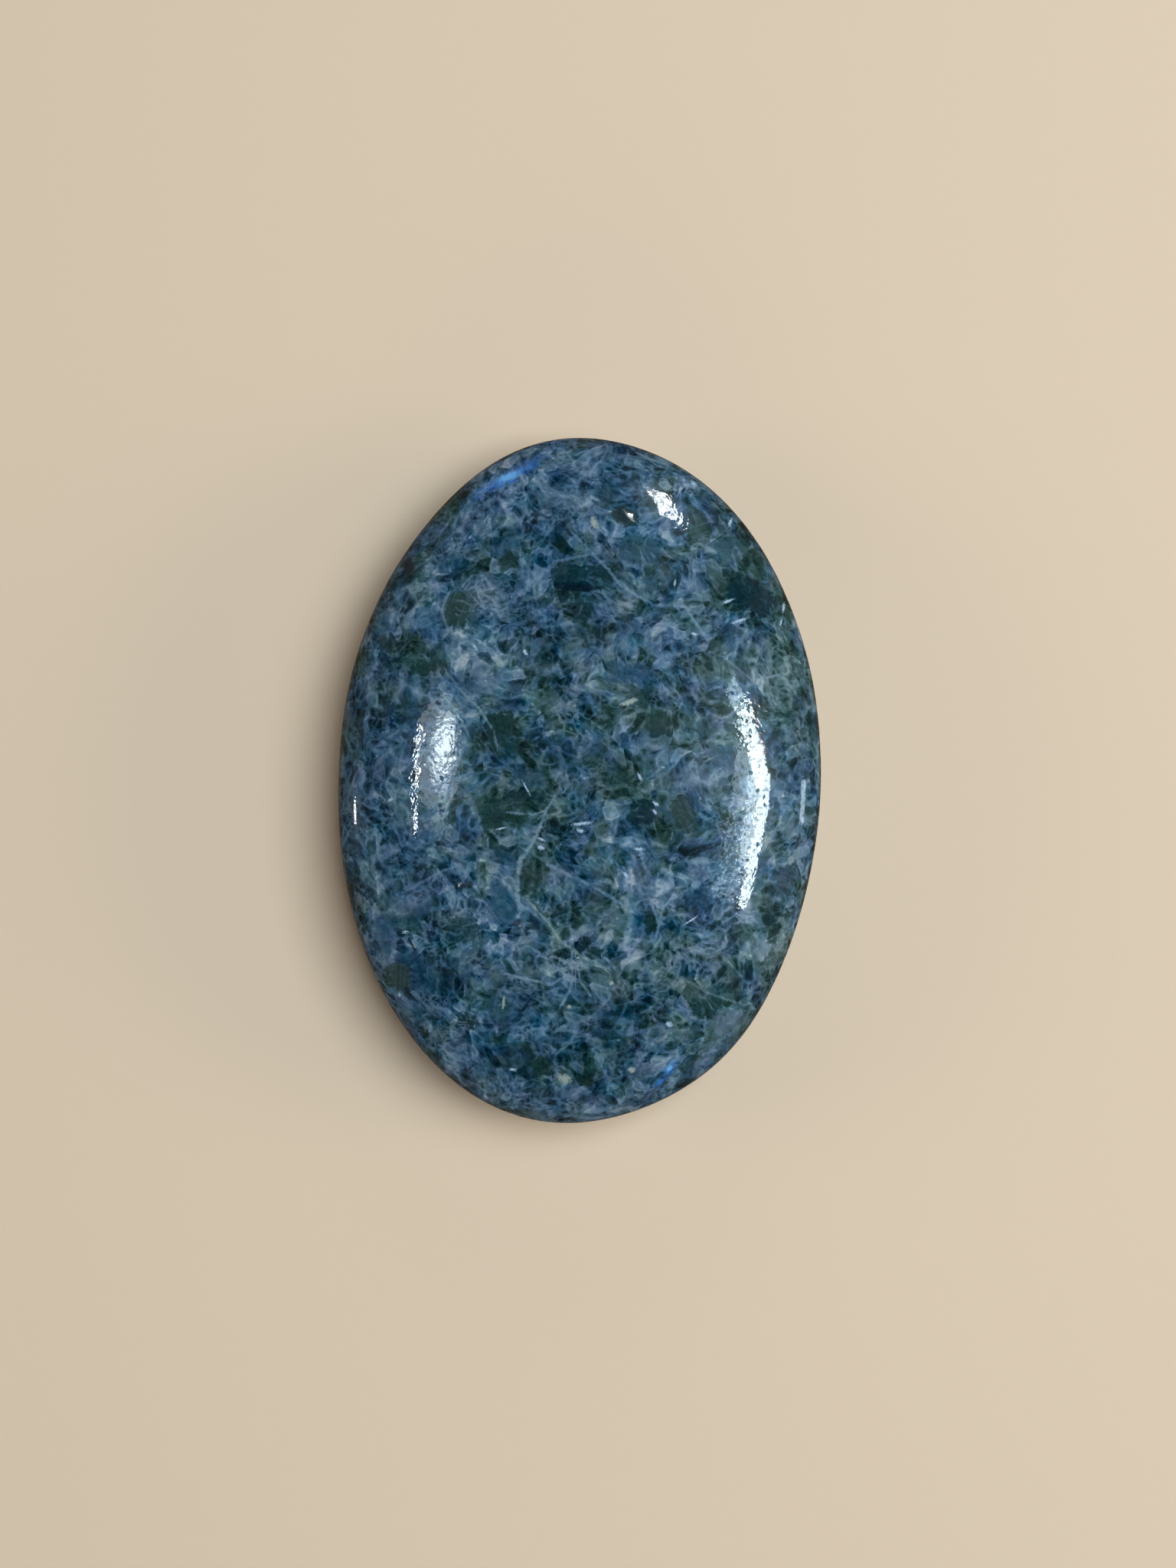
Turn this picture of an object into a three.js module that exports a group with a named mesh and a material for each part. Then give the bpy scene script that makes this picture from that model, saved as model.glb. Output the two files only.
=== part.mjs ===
// A polished palm stone of blue chalcedony and opal: one oval, hand-ground pebble with a
// low dome on top, a rounded rim and a shallower underside that is lapped to a small flat base.
// Millimetres, +Z up, the long axis along Y, the origin at the middle of the base.
import * as THREE from "three";

// Driving dimensions.
const stoneLength = 70;
const stoneWidth = 49.3;

// Each side of the stone is a low dome with a rounded rim under it, and their rises add up.
const crown = { domeRise: 5.8, rimRise: 3.2 };
const underside = { domeRise: 4.9, rimRise: 3.2 };
const domeFullness = 2.4; // 2 is a plain parabola; more keeps the middle flatter and the shoulders fuller
const rimTightness = 14; // the higher, the closer to the edge the rim turns over
const baseDepth = 7.5; // the widest line of the stone stands this high above the base
const baseBlend = 0.35; // the height over which the underside runs into the flat base

// The highest point of the crown lies a little off the middle, as hand grinding leaves it.
const crownOffset = new THREE.Vector2(-0.7, 1.4);

// Slow lobes that the wheel left in the oval: how many go round, how high they stand
// and where the first one is, in degrees from +X.
const outlineLobes = [
  { count: 3, rise: 0.1, turn: -25 },
  { count: 4, rise: 0.08, turn: 44 },
  { count: 5, rise: 0.11, turn: 28 },
  { count: 7, rise: 0.08, turn: 2 },
];

// How finely the solid is faceted. The rows crowd towards the rim, where the surface turns over.
const stepsAround = 88;
const crownSteps = 19;
const undersideSteps = 16;
const rowCrowding = 0.8;

const slateBlue = 0x3c5c74;

// How far a side stands out from the widest line, at a share of the way from the middle to the edge.
function sideRise({ domeRise, rimRise }, share) {
  return domeRise * (1 - share ** domeFullness) + rimRise * Math.sqrt(1 - share ** rimTightness);
}

// The lesser of two depths, with the corner between them rounded off.
function roundedLesser(a, b, blend) {
  const overlap = Math.max(blend - Math.abs(a - b), 0);
  return Math.min(a, b) - overlap ** 2 / (4 * blend);
}

// The shares at which the rows of one side lie, from the middle out to the edge.
function rowShares(steps) {
  return Array.from({ length: steps + 1 }, (_, row) => Math.sin((row / steps) * (Math.PI / 2)) ** rowCrowding);
}

// The side profile from the top of the crown, round the rim, to the middle of the base.
function sideProfile() {
  const crownRows = rowShares(crownSteps).map((share) => ({
    share,
    height: baseDepth + sideRise(crown, share),
  }));
  const undersideRows = rowShares(undersideSteps).map((share) => ({
    share,
    height: baseDepth - roundedLesser(sideRise(underside, share), baseDepth, baseBlend),
  }));
  return [...crownRows, ...undersideRows.reverse().slice(1)];
}

// The outline's point in the direction of an angle: an ellipse with the lobes on it.
function outlinePoint(angle) {
  const lobes = outlineLobes.reduce(
    (sum, { count, rise, turn }) => sum + rise * Math.cos(count * (angle - THREE.MathUtils.degToRad(turn))),
    0,
  );
  return new THREE.Vector2(
    (stoneWidth / 2 + lobes) * Math.cos(angle),
    (stoneLength / 2 + lobes) * Math.sin(angle),
  );
}

// How much of the crown's offset a point takes: none up to the widest line, all at the top.
function crownShare(height) {
  return (Math.max(0, height - baseDepth) / sideRise(crown, 0)) ** 2;
}

// A sphere's grid, with each row laid on one point of the profile and each column on one of the outline.
function stoneShape() {
  const profile = sideProfile();
  const shape = new THREE.SphereGeometry(1, stepsAround, profile.length - 1);
  const position = shape.getAttribute("position");
  for (let i = 0; i < position.count; i++) {
    const { share, height } = profile[Math.floor(i / (stepsAround + 1))];
    const column = (i % (stepsAround + 1)) % stepsAround;
    const place = outlinePoint((column / stepsAround) * Math.PI * 2)
      .multiplyScalar(share)
      .addScaledVector(crownOffset, crownShare(height));
    position.setXYZ(i, place.x, place.y, height);
  }
  shape.computeBoundingBox();
  const middle = shape.boundingBox.getCenter(new THREE.Vector3());
  shape.translate(-middle.x, -middle.y, -shape.boundingBox.min.z);
  shape.computeVertexNormals();
  return shape;
}

const palmStone = new THREE.Mesh(
  stoneShape(),
  new THREE.MeshStandardMaterial({ color: slateBlue, roughness: 0.12, metalness: 0 }),
);
palmStone.name = "palm_stone";

const stone = new THREE.Group();
stone.add(palmStone);

export default stone;
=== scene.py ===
import math

import bpy
import numpy as np
from mathutils import Color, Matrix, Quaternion, Vector


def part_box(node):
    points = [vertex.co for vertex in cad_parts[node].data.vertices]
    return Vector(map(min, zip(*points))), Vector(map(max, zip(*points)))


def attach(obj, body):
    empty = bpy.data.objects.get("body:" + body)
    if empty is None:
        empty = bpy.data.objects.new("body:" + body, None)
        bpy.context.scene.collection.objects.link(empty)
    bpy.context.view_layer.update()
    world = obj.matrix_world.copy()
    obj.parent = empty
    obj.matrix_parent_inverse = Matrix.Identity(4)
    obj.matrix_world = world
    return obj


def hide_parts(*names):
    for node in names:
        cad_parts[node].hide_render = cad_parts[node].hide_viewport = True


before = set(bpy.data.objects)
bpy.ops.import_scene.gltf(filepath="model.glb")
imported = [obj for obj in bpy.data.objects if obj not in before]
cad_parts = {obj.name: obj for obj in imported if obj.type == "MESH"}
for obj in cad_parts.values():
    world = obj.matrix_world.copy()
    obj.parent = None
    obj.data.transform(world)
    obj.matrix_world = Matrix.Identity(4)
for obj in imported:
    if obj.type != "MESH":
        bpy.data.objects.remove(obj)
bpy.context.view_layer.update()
mm = 0.001
farOff = 9.0        # further than any mark reaches, in mm or in half widths of the mark


def linearColour(hexCode):
    # "#rrggbb" as seen on a screen, to the linear colour the shader wants
    values = [int(hexCode[i:i + 2], 16) / 255 for i in (1, 3, 5)]
    return tuple(v / 12.92 if v < 0.04045 else ((v + 0.055) / 1.055) ** 2.4 for v in values) + (1.0,)


def leaningGrey(lightness, green, blue):
    # a grey of a lightness from 0 to 100 that leans to green and to blue, as the same linear colour
    grey = (lightness + 16) / 116
    x, y, z = grey - green / 500, grey, grey + blue / 200
    colour = Color((0.9505 * x ** 3, y ** 3, 1.089 * z ** 3)).from_xyz_d65_to_scene_linear()
    return tuple(max(0.0, value) for value in colour) + (1.0,)


palmStone = {
    "halfWidth": 24.65, "halfLength": 35.0,         # mm, before the box is fitted
    "crown": (5.8, 3.2), "underside": (4.9, 3.2),   # dome rise and rim rise of each side, mm
    "domeFullness": 2.4, "rimTightness": 14,
    "baseDepth": 7.5, "baseBlend": 0.35,            # height of the widest line, and how the base runs in
    "lappedHeight": 1.2,                            # wear fades out from here down to the lapped base, mm
    "crownOffset": (-0.7, 1.4),
    "outlineLobes": [(3, 0.1, -25), (4, 0.08, 44), (5, 0.11, 28), (7, 0.08, 2)],  # count, rise mm, turn deg
    "stepsAround": 372, "crownRows": 152, "undersideRows": 100, "rowCrowding": 0.8,
    "swells": {"waves": 14, "length": (11, 19), "depth": 0.05},      # slow flats the wheel left, mm
    "ripple": {"waves": 60, "length": (1.6, 3.4), "depth": 0.0045},  # soft and hard grains polish unevenly
    "pits": [(-0.4, 30.3, 0.55, 0.10), (4.5, 26.9, 0.75, 0.12), (-9.3, 25.2, 0.5, 0.08),
             (-11.6, -10.2, 0.7, 0.12), (16.6, 5.4, 0.35, 0.05), (17.6, 2.2, 0.3, 0.04),
             (6.2, -23.6, 0.6, 0.1), (-20.6, 9.5, 0.55, 0.09)],      # x, y, radius, depth in mm, on the crown
    "seed": 41,
}


def sideRise(rises, share):
    dome, rim = rises
    return (dome * (1 - share ** palmStone["domeFullness"])
            + rim * np.sqrt(1 - share ** palmStone["rimTightness"]))


def rowShares(rows):
    return np.sin(np.linspace(0, math.pi / 2, rows + 1)) ** palmStone["rowCrowding"]


def stoneGrid():
    # rows from the top of the crown to the middle of the base, columns all the way round
    depth, blend = palmStone["baseDepth"], palmStone["baseBlend"]
    up = rowShares(palmStone["crownRows"])
    down = rowShares(palmStone["undersideRows"])
    drop = sideRise(palmStone["underside"], down)
    drop = np.minimum(drop, depth) - np.maximum(blend - abs(drop - depth), 0) ** 2 / (4 * blend)
    share = np.concatenate([up, down[::-1][1:]])
    height = np.concatenate([depth + sideRise(palmStone["crown"], up), (depth - drop)[::-1][1:]])

    angle = np.arange(palmStone["stepsAround"]) / palmStone["stepsAround"] * 2 * math.pi
    lobes = sum(rise * np.cos(count * (angle - math.radians(turn)))
                for count, rise, turn in palmStone["outlineLobes"])
    lean = (np.maximum(0, height - depth) / sum(palmStone["crown"])) ** 2
    grid = np.empty((len(share), len(angle), 3))
    grid[..., 0] = (np.outer(share, (palmStone["halfWidth"] + lobes) * np.cos(angle))
                    + (palmStone["crownOffset"][0] * lean)[:, None])
    grid[..., 1] = (np.outer(share, (palmStone["halfLength"] + lobes) * np.sin(angle))
                    + (palmStone["crownOffset"][1] * lean)[:, None])
    grid[..., 2] = height[:, None]
    return grid


def gridNormals(grid):
    across = np.gradient(grid, axis=0)
    around = np.roll(grid, -1, 1) - np.roll(grid, 1, 1)
    normals = np.cross(across, around)
    normals /= np.linalg.norm(normals, axis=-1, keepdims=True) + 1e-12
    normals[0] = (0, 0, 1)
    normals[-1] = (0, 0, -1)
    return normals


def waveField(points, settings, rng):
    # a smooth random field, about -1 to 1, made of waves that run every way
    field = np.zeros(points.shape[:-1])
    for _ in range(settings["waves"]):
        direction = rng.normal(size=3)
        direction /= np.linalg.norm(direction)
        length = rng.uniform(*settings["length"])
        field += np.cos(points @ direction * (2 * math.pi / length) + rng.uniform(0, 2 * math.pi))
    return field / math.sqrt(settings["waves"] / 2) / 2


def wearIn(grid):
    rng = np.random.default_rng(palmStone["seed"])
    normals = gridNormals(grid)
    swell = waveField(grid, palmStone["swells"], rng) * palmStone["swells"]["depth"]
    ripple = waveField(grid, palmStone["ripple"], rng) * palmStone["ripple"]["depth"]
    dent = np.zeros(grid.shape[:-1])
    for x, y, radius, deep in palmStone["pits"]:
        away = np.hypot(grid[..., 0] - x, grid[..., 1] - y) / radius
        dent += deep * np.exp(-away ** 2 * 2) * (grid[..., 2] > palmStone["baseDepth"])
    worn = np.clip(grid[..., 2:3] / palmStone["lappedHeight"], 0, 1)
    return grid + normals * (swell + ripple - dent)[..., None] * worn


def fitToBox(grid, low, high):
    # the finished skin fills the solid's own box exactly
    flat = grid.reshape(-1, 3)
    size = flat.max(0) - flat.min(0)
    return (grid - flat.min(0)) / size * (np.array(high) - np.array(low)) + np.array(low)


def skinMesh(name, grid):
    rows, columns = grid.shape[:2]
    ring = grid[1:-1].reshape(-1, 3)
    points = np.vstack([grid[0].mean(0), ring, grid[-1].mean(0)])
    column = np.arange(columns)
    beside = (column + 1) % columns
    faces = [(0, 1 + a, 1 + b) for a, b in zip(column, beside)]
    for row in range(rows - 3):
        near, far = 1 + row * columns, 1 + (row + 1) * columns
        faces += [(near + a, far + a, far + b, near + b) for a, b in zip(column, beside)]
    last, end = 1 + (rows - 3) * columns, len(points) - 1
    faces += [(last + a, end, last + b) for a, b in zip(column, beside)]
    mesh = bpy.data.meshes.new(name)
    mesh.from_pydata(points.tolist(), [], [tuple(int(i) for i in f) for f in faces])
    mesh.polygons.foreach_set("use_smooth", [True] * len(mesh.polygons))
    mesh.update()
    return mesh


# What grew in the stone. Places are x, y in mm from its middle, seen from above; turns are in
# degrees from +X; lightness runs from 0 to 100, and green from 0 (blue) to 1.
markings = {
    "fade": (5.0, 7.5),     # heights over the base between which the marks come in, mm
    "veinReach": 0.5,       # a vein is whole this far from its middle, and gone at twice that, mm
    # soft zones: x, y, half length, half width, turn, tone (+ paler), green (+ greener)
    "zones": [
        (-8.0, 31.0, 5.0, 2.2, 30, 0.05, -0.5), (0.5, 31.5, 5.0, 1.8, 0, 0.05, -0.35),
        (9.5, 29.0, 3.0, 3.0, 0, 0.1, 0.1), (-14.8, 26.6, 3.0, 1.6, 50, -0.2, 0.6),
        (-1.2, 20.2, 3.2, 2.0, -5, -0.3, 0.4), (-5.3, 16.2, 2.6, 1.6, -20, -0.2, -0.1),
        (1.5, 15.0, 3.0, 1.4, 0, -0.15, 0.1), (-9.6, 18.6, 2.4, 1.6, 30, 0.16, 0.0),
        (-10.3, 13.5, 1.6, 3.4, 10, 0.06, 0.3), (-7.4, 11.0, 2.4, 1.8, -30, 0.16, -0.2),
        (-3.2, 8.3, 1.8, 2.2, 10, -0.25, 0.5), (0.6, 7.2, 2.2, 1.8, 30, 0.14, -0.1),
        (-7.8, 4.2, 2.4, 3.2, 0, -0.2, 0.6), (-7.2, -2.6, 4.0, 2.3, 10, -0.22, 0.8),
        (8.2, 6.6, 3.0, 1.8, 0, -0.15, 0.6), (4.1, 0.0, 2.4, 2.2, 0, -0.28, 0.4),
        (8.4, -4.2, 3.6, 1.5, -30, -0.28, 0.3), (11.6, 0.8, 3.0, 1.4, 0, 0.16, -0.1),
        (16.6, 20.2, 3.6, 3.0, 40, -0.28, 0.5), (19.8, 18.0, 2.2, 3.0, 0, -0.15, 0.5),
        (20.6, 7.0, 1.8, 2.6, 0, -0.2, 0.5), (16.5, 10.8, 2.6, 1.4, 10, 0.3, 0.5),
        (5.6, -8.8, 5.4, 1.9, -40, 0.2, -0.35), (12.4, -14.4, 2.6, 1.2, -15, -0.2, -0.3),
        (-16.6, -14.0, 3.2, 1.6, 35, 0.14, -0.3), (-5.0, -9.6, 2.2, 3.4, -10, -0.02, 0.7),
        (-12.0, -19.4, 2.6, 1.8, 0, -0.28, 0.1), (-16.2, -21.4, 2.4, 2.0, 0, -0.13, -0.6),
        (-9.0, -22.6, 3.4, 2.2, -20, -0.15, 0.4), (6.2, -16.2, 3.4, 1.6, -20, 0.14, 0.0),
        (-2.0, -19.4, 1.8, 1.6, 0, 0.1, 0.1), (3.6, -23.4, 5.0, 3.2, 0, -0.24, 0.1),
        (-7.0, -28.2, 3.0, 1.8, 0, -0.24, -0.1), (13.0, -22.0, 3.8, 2.2, 20, -0.06, 0.6),
        (9.4, -28.6, 2.8, 1.8, 60, 0.1, -0.5), (-4.0, -31.6, 3.2, 1.6, 0, 0.16, -0.3),
        (-21.4, 3.0, 2.2, 5.0, 0, -0.12, -0.4), (-17.6, 12.4, 2.4, 2.6, 0, -0.2, 0.45),
        (-13.2, 0.0, 2.6, 5.4, 0, 0.2, -0.2), (-18.4, 19.8, 2.2, 2.8, -35, -0.2, -0.1),
        (-5.0, 28.0, 7.0, 3.0, 0, 0.0, -0.4), (0.0, 20.5, 5.5, 4.0, 0, 0.0, -0.35),
        (-4.2, 13.0, 3.0, 3.2, 0, -0.18, 0.0), (14.6, 3.6, 3.0, 6.0, 0, 0.15, 0.4),
        (17.6, -6.0, 2.4, 5.0, 0, 0.18, 0.1), (-2.6, -5.6, 3.0, 3.0, 0, -0.1, 0.6),
        (-11.6, -22.0, 5.0, 5.0, 0, 0.0, -0.4), (5.6, -29.0, 7.0, 3.0, 0, -0.12, -0.3),
        (21.0, -15.0, 2.0, 4.0, 0, 0.0, 0.8), (-6.4, -16.4, 3.6, 2.4, 0, 0.08, -0.3),
        (7.4, 3.0, 5.0, 4.0, 0, 0.0, 0.35), (-18.4, -6.0, 3.6, 9.0, 0, 0.05, -0.35),
        (-12.0, -27.5, 6.0, 4.0, 0, 0.05, -0.3), (-14.0, 16.0, 4.0, 5.0, 20, 0.22, 0.0),
        (-6.0, -14.0, 7.0, 3.0, 10, 0.08, 0.0), (20.4, 12.4, 2.0, 3.0, 0, 0.0, 0.6),
        (8.0, 13.8, 2.8, 2.0, 0, -0.14, 0.0), (14.0, 26.0, 2.4, 3.0, 0, -0.16, 0.5),
        (14.6, -9.8, 2.4, 4.0, 0, 0.14, -0.3), (-8.0, 27.6, 4.0, 2.0, 20, 0.06, -0.3),
        (-4.6, 6.0, 2.6, 2.6, 0, 0.14, 0.0), (-10.0, -24.4, 3.0, 2.6, 0, 0.14, 0.15),
        (-4.0, -12.2, 2.2, 2.2, 0, 0.14, 0.0), (-14.5, 20.6, 4.0, 3.0, 0, 0.0, -0.4),
        (-15.4, 3.0, 3.4, 4.0, 0, 0.0, -0.4), (-4.0, -20.2, 2.6, 2.6, 0, 0.0, -0.35),
        (20.6, 10.0, 2.4, 4.0, 0, 0.0, 0.35), (18.6, -16.0, 3.0, 3.2, 0, 0.0, 0.4),
        (8.2, 4.2, 3.0, 3.0, 0, 0.0, 0.3),
    ],
    # patches that polish unevenly, and patches that took the polish only along threads:
    # x, y, half length, half width, turn
    "uneven": [
        (15.7, -4.6, 1.9, 5.4, 0), (16.4, 6.4, 2.0, 2.8, 0), (15.6, -11.0, 1.3, 2.6, 0),
        (-16.6, 0.2, 0.8, 6.4, 0), (9.4, 27.4, 1.8, 3.0, 30),
        (-13.4, 2.6, 1.8, 3.4, 0),
    ],
    "lacy": [
        (14.6, -6.6, 1.7, 6.4, -4), (14.4, 5.6, 1.3, 2.4, 0), (13.6, 10.8, 2.0, 1.6, 0),
        (-11.5, 3.2, 1.0, 3.2, 0), (6.1, 29.3, 1.3, 0.8, 0), (7.9, 27.2, 0.7, 0.45, -50),
    ],
    # crystals: x, y, half length, half width, turn, lightness, green, how far they hide the web, stripes
    "crystals": [
        (-0.5, 20.3, 3.1, 1.1, -3, 20, 0.6, 0.9, 7), (-0.9, 19.2, 2.5, 0.5, -3, 11, 0.4, 0.9, 2),
        (-0.3, 17.1, 1.7, 0.85, 80, 18, 0.7, 0.85, 4), (0.8, 14.0, 1.2, 0.9, 10, 17, 0.7, 0.75, 3),
        (-12.6, 16.3, 1.8, 1.3, 72, 27, 1.0, 0.9, 22), (-11.1, 15.6, 1.5, 0.6, 85, 32, 0.8, 0.7, 9),
        (5.1, 23.0, 2.3, 1.3, -3, 30, 0.35, 0.7, 7), (1.8, 28.7, 1.1, 0.9, 20, 25, 0.1, 0.7, 0),
        (14.3, 23.6, 1.5, 1.4, 30, 32, 0.8, 0.7, 3), (16.4, 19.0, 2.4, 1.5, -25, 15, 0.4, 0.85, 6),
        (-19.6, 13.1, 1.0, 0.9, 0, 17, 0.8, 0.8, 2), (-13.5, 21.0, 1.3, 1.0, -20, 30, 0.0, 0.6, 0),
        (-9.2, 9.5, 2.0, 1.6, -20, 45, 0.1, 0.5, 4), (-7.6, 4.2, 2.3, 1.5, -75, 20, 0.9, 0.75, 7),
        (-5.0, 0.1, 1.8, 1.1, -2, 29, 0.15, 0.8, 9), (-5.3, -1.7, 2.0, 0.5, -3, 17, 0.6, 0.8, 4),
        (-7.2, -3.4, 2.4, 1.5, 5, 23, 1.0, 0.75, 9), (-19.2, 6.2, 1.0, 0.55, 60, 22, 0.2, 0.8, 0),
        (10.4, -3.0, 1.9, 1.1, -60, 25, 0.9, 0.85, 15), (8.7, -2.9, 1.2, 0.6, -55, 30, 0.0, 0.85, 3),
        (6.3, -2.9, 1.4, 1.2, 0, 15, 0.5, 0.8, 2), (14.1, 3.0, 1.4, 1.2, 10, 37, 0.1, 0.6, 2),
        (4.3, 10.7, 2.4, 1.1, 0, 31, 0.0, 0.75, 7), (5.6, 8.4, 1.2, 1.1, 0, 25, 0.8, 0.65, 5),
        (7.6, 6.0, 1.2, 1.0, 0, 21, 0.9, 0.65, 3), (-17.6, -20.3, 1.3, 1.3, 88, 25, 1.0, 0.9, 17),
        (-7.2, -12.7, 1.8, 1.4, 88, 36, 0.05, 0.7, 2), (-10.3, -24.4, 1.1, 0.7, -15, 18, 1.0, 0.85, 2),
        (13.6, -22.0, 1.5, 0.95, 35, 21, 0.9, 0.85, 7), (15.6, -23.7, 1.6, 1.1, 35, 40, 0.5, 0.6, 4),
        (-4.2, -10.2, 1.5, 1.3, 80, 24, 1.0, 0.6, 9), (-4.0, -13.8, 0.8, 0.4, -45, 14, 0.1, 0.8, 0),
        (20.5, -9.3, 1.6, 1.2, 90, 25, 0.5, 0.7, 2), (19.8, -13.2, 0.8, 0.7, 0, 14, 0.6, 0.8, 0),
        (-15.8, 10.6, 1.1, 0.8, 0, 20, 0.9, 0.7, 3), (-7.9, 21.3, 1.0, 0.8, 20, 19, 1.0, 0.7, 2),
        (-10.8, -15.2, 1.6, 1.3, 0, 22, 0.5, 0.6, 3), (-2.6, -28.8, 1.0, 0.9, 0, 17, 0.9, 0.7, 0),
        (7.6, -13.7, 0.7, 0.9, 0, 14, 1.0, 0.8, 0), (2.1, -16.9, 0.9, 0.6, -20, 17, 0.9, 0.8, 2),
        (-17.9, 20.6, 1.2, 0.6, -55, 18, 0.7, 0.8, 0), (3.5, 26.4, 1.2, 0.9, -25, 24, 0.9, 0.85, 5),
    ],
    # veins: half width mm, strength, green, then the points they run through
    "veins": [
        (0.15, 1.0, 0.5, [(-3.2, -3.1), (-3.9, -5.3), (-4.8, -7.1)]),
        (0.24, 1.0, 0.4, [(-4.8, -7.1), (-5.5, -8.0), (-5.8, -9.6), (-5.6, -12.2)]),
        (0.12, 0.8, 0.6, [(-2.2, -1.4), (-3.2, -3.1), (-4.4, -3.5), (-6.6, -3.4)]),
        (0.13, 0.9, 1.0, [(-4.6, -11.9), (-2.6, -14.1), (-1.3, -15.8), (0.7, -17.2), (3.2, -18.5)]),
        (0.20, 0.9, 0.3, [(-1.0, -17.8), (0.6, -18.0)]),
        (0.13, 0.9, 0.3, [(-0.2, -18.0), (0.1, -19.5), (-0.3, -20.9), (-0.9, -22.2)]),
        (0.12, 0.8, 0.3, [(0.0, -16.4), (-0.2, -18.0), (-2.0, -17.4)]),
        (0.10, 0.7, 0.3, [(0.4, -18.2), (0.9, -19.9), (1.9, -21.2)]),
        (0.12, 0.8, 0.2, [(-6.4, -19.4), (-3.8, -19.9), (-2.1, -20.3), (-0.7, -19.3)]),
        (0.14, 0.7, 0.1, [(-1.8, 24.7), (0.3, 22.6), (2.1, 20.9), (3.5, 19.2), (6.6, 17.6), (9.8, 17.6)]),
        (0.14, 0.7, 0.1, [(9.8, 17.6), (11.2, 15.6), (12.2, 14.3)]),
        (0.14, 0.6, 0.0, [(-3.4, 21.5), (0.3, 22.4)]),
        (0.26, 0.6, 0.0, [(-3.4, 21.3), (-5.0, 19.5), (-6.6, 18.1)]),
        (0.10, 0.7, 0.9, [(-14.1, 8.2), (-12.7, 6.7), (-11.6, 5.2), (-11.1, 4.1)]),
        (0.12, 0.7, 0.8, [(-13.4, 10.1), (-12.2, 8.6), (-10.2, 6.8), (-8.6, 4.6), (-8.2, 3.0)]),
        (0.12, 0.6, 1.0, [(8.6, -18.0), (11.6, -19.5), (13.4, -20.6), (16.4, -21.6)]),
        (0.14, 0.6, 0.1, [(-16.4, -11.4), (-13.6, -9.6), (-11.5, -8.7), (-9.5, -11.3)]),
        (0.16, 0.7, 0.1, [(-2.5, -8.4), (-0.5, -9.4), (2.1, -10.5), (5.6, -12.6)]),
        (0.26, 0.6, 0.1, [(18.3, -12.7), (18.8, -14.6), (19.3, -16.2)]),
        (0.14, 0.7, 0.0, [(7.4, -11.6), (8.4, -13.8), (8.0, -15.6), (5.0, -15.4)]),
        (0.11, 0.6, 0.6, [(14.0, 12.6), (16.8, 10.6), (19.8, 11.4), (21.4, 9.4)]),
        (0.11, 0.9, 0.3, [(-12.3, 18.9), (-11.4, 20.0), (-10.3, 19.9), (-9.6, 19.0)]),
        (0.10, 0.9, 0.3, [(-11.6, 18.6), (-10.8, 18.9), (-10.2, 18.1), (-9.2, 17.6), (-8.8, 16.6)]),
        (0.10, 0.8, 0.5, [(-11.2, 17.7), (-10.6, 17.1), (-9.9, 16.6)]),
        (0.11, 0.7, 0.3, [(-13.6, 18.3), (-14.3, 16.4), (-13.6, 14.4)]),
    ],
}

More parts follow.
